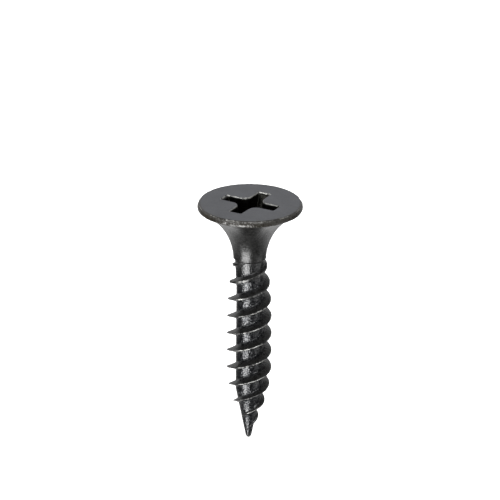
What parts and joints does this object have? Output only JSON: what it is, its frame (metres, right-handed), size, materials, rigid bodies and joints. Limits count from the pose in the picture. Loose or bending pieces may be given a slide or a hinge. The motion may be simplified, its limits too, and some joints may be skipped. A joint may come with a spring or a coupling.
{
  "type": "wood screw",
  "caption": "Black wood screw with a flat-topped bugle head, a cross recess, a right-hand thread and a needle point. It cuts its own way into timber and pulls in flush.",
  "frame": {"origin": "centre of the head's flat top face, the plane that ends up flush with the board", "axes": "+Z along the screw's axis, out of the board, away from the point; +X and +Y along the wings of the cross recess"},
  "size_m": [0.0082, 0.0082, 0.0194],
  "materials": {
    "screw": "black phosphate on hardened carbon steel, dull with an oily sheen, worn bright along the thread crests and the recess edges"
  },
  "bodies": {
    "root": {"screw": "screw"}
  },
  "joints": []
}
